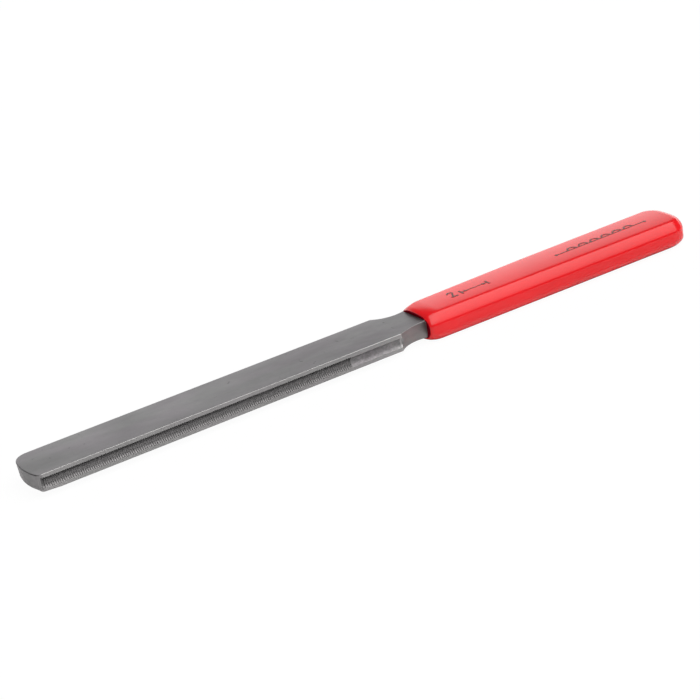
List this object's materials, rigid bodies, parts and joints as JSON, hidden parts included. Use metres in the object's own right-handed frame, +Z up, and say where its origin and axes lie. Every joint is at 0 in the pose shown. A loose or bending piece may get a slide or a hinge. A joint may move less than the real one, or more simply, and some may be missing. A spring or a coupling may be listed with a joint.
{
  "type": "flat file",
  "caption": "Slim flat steel crowning file with a finely toothed hollow along each narrow edge and a red push-on plastic handle sleeve.",
  "frame": {"origin": "bottom centre of the bounding box: midway along the file and across its width, level with the underside of the handle sleeve", "axes": "+X along the file from the blade tip to the closed end of the sleeve, +Y across the width, +Z up through the flat faces, printed marks on top"},
  "size_m": [0.1668, 0.0138, 0.0069],
  "materials": {
    "file_steel": "satin ground grey steel with darker cut teeth",
    "red_vinyl": "glossy red moulded vinyl",
    "print_ink": "thin dark brown-grey print"
  },
  "bodies": {
    "root": {"blade_and_tang": "file_steel", "handle_sleeve": "red_vinyl", "size_mark_ink": "print_ink", "ornament_ink": "print_ink"}
  },
  "joints": []
}
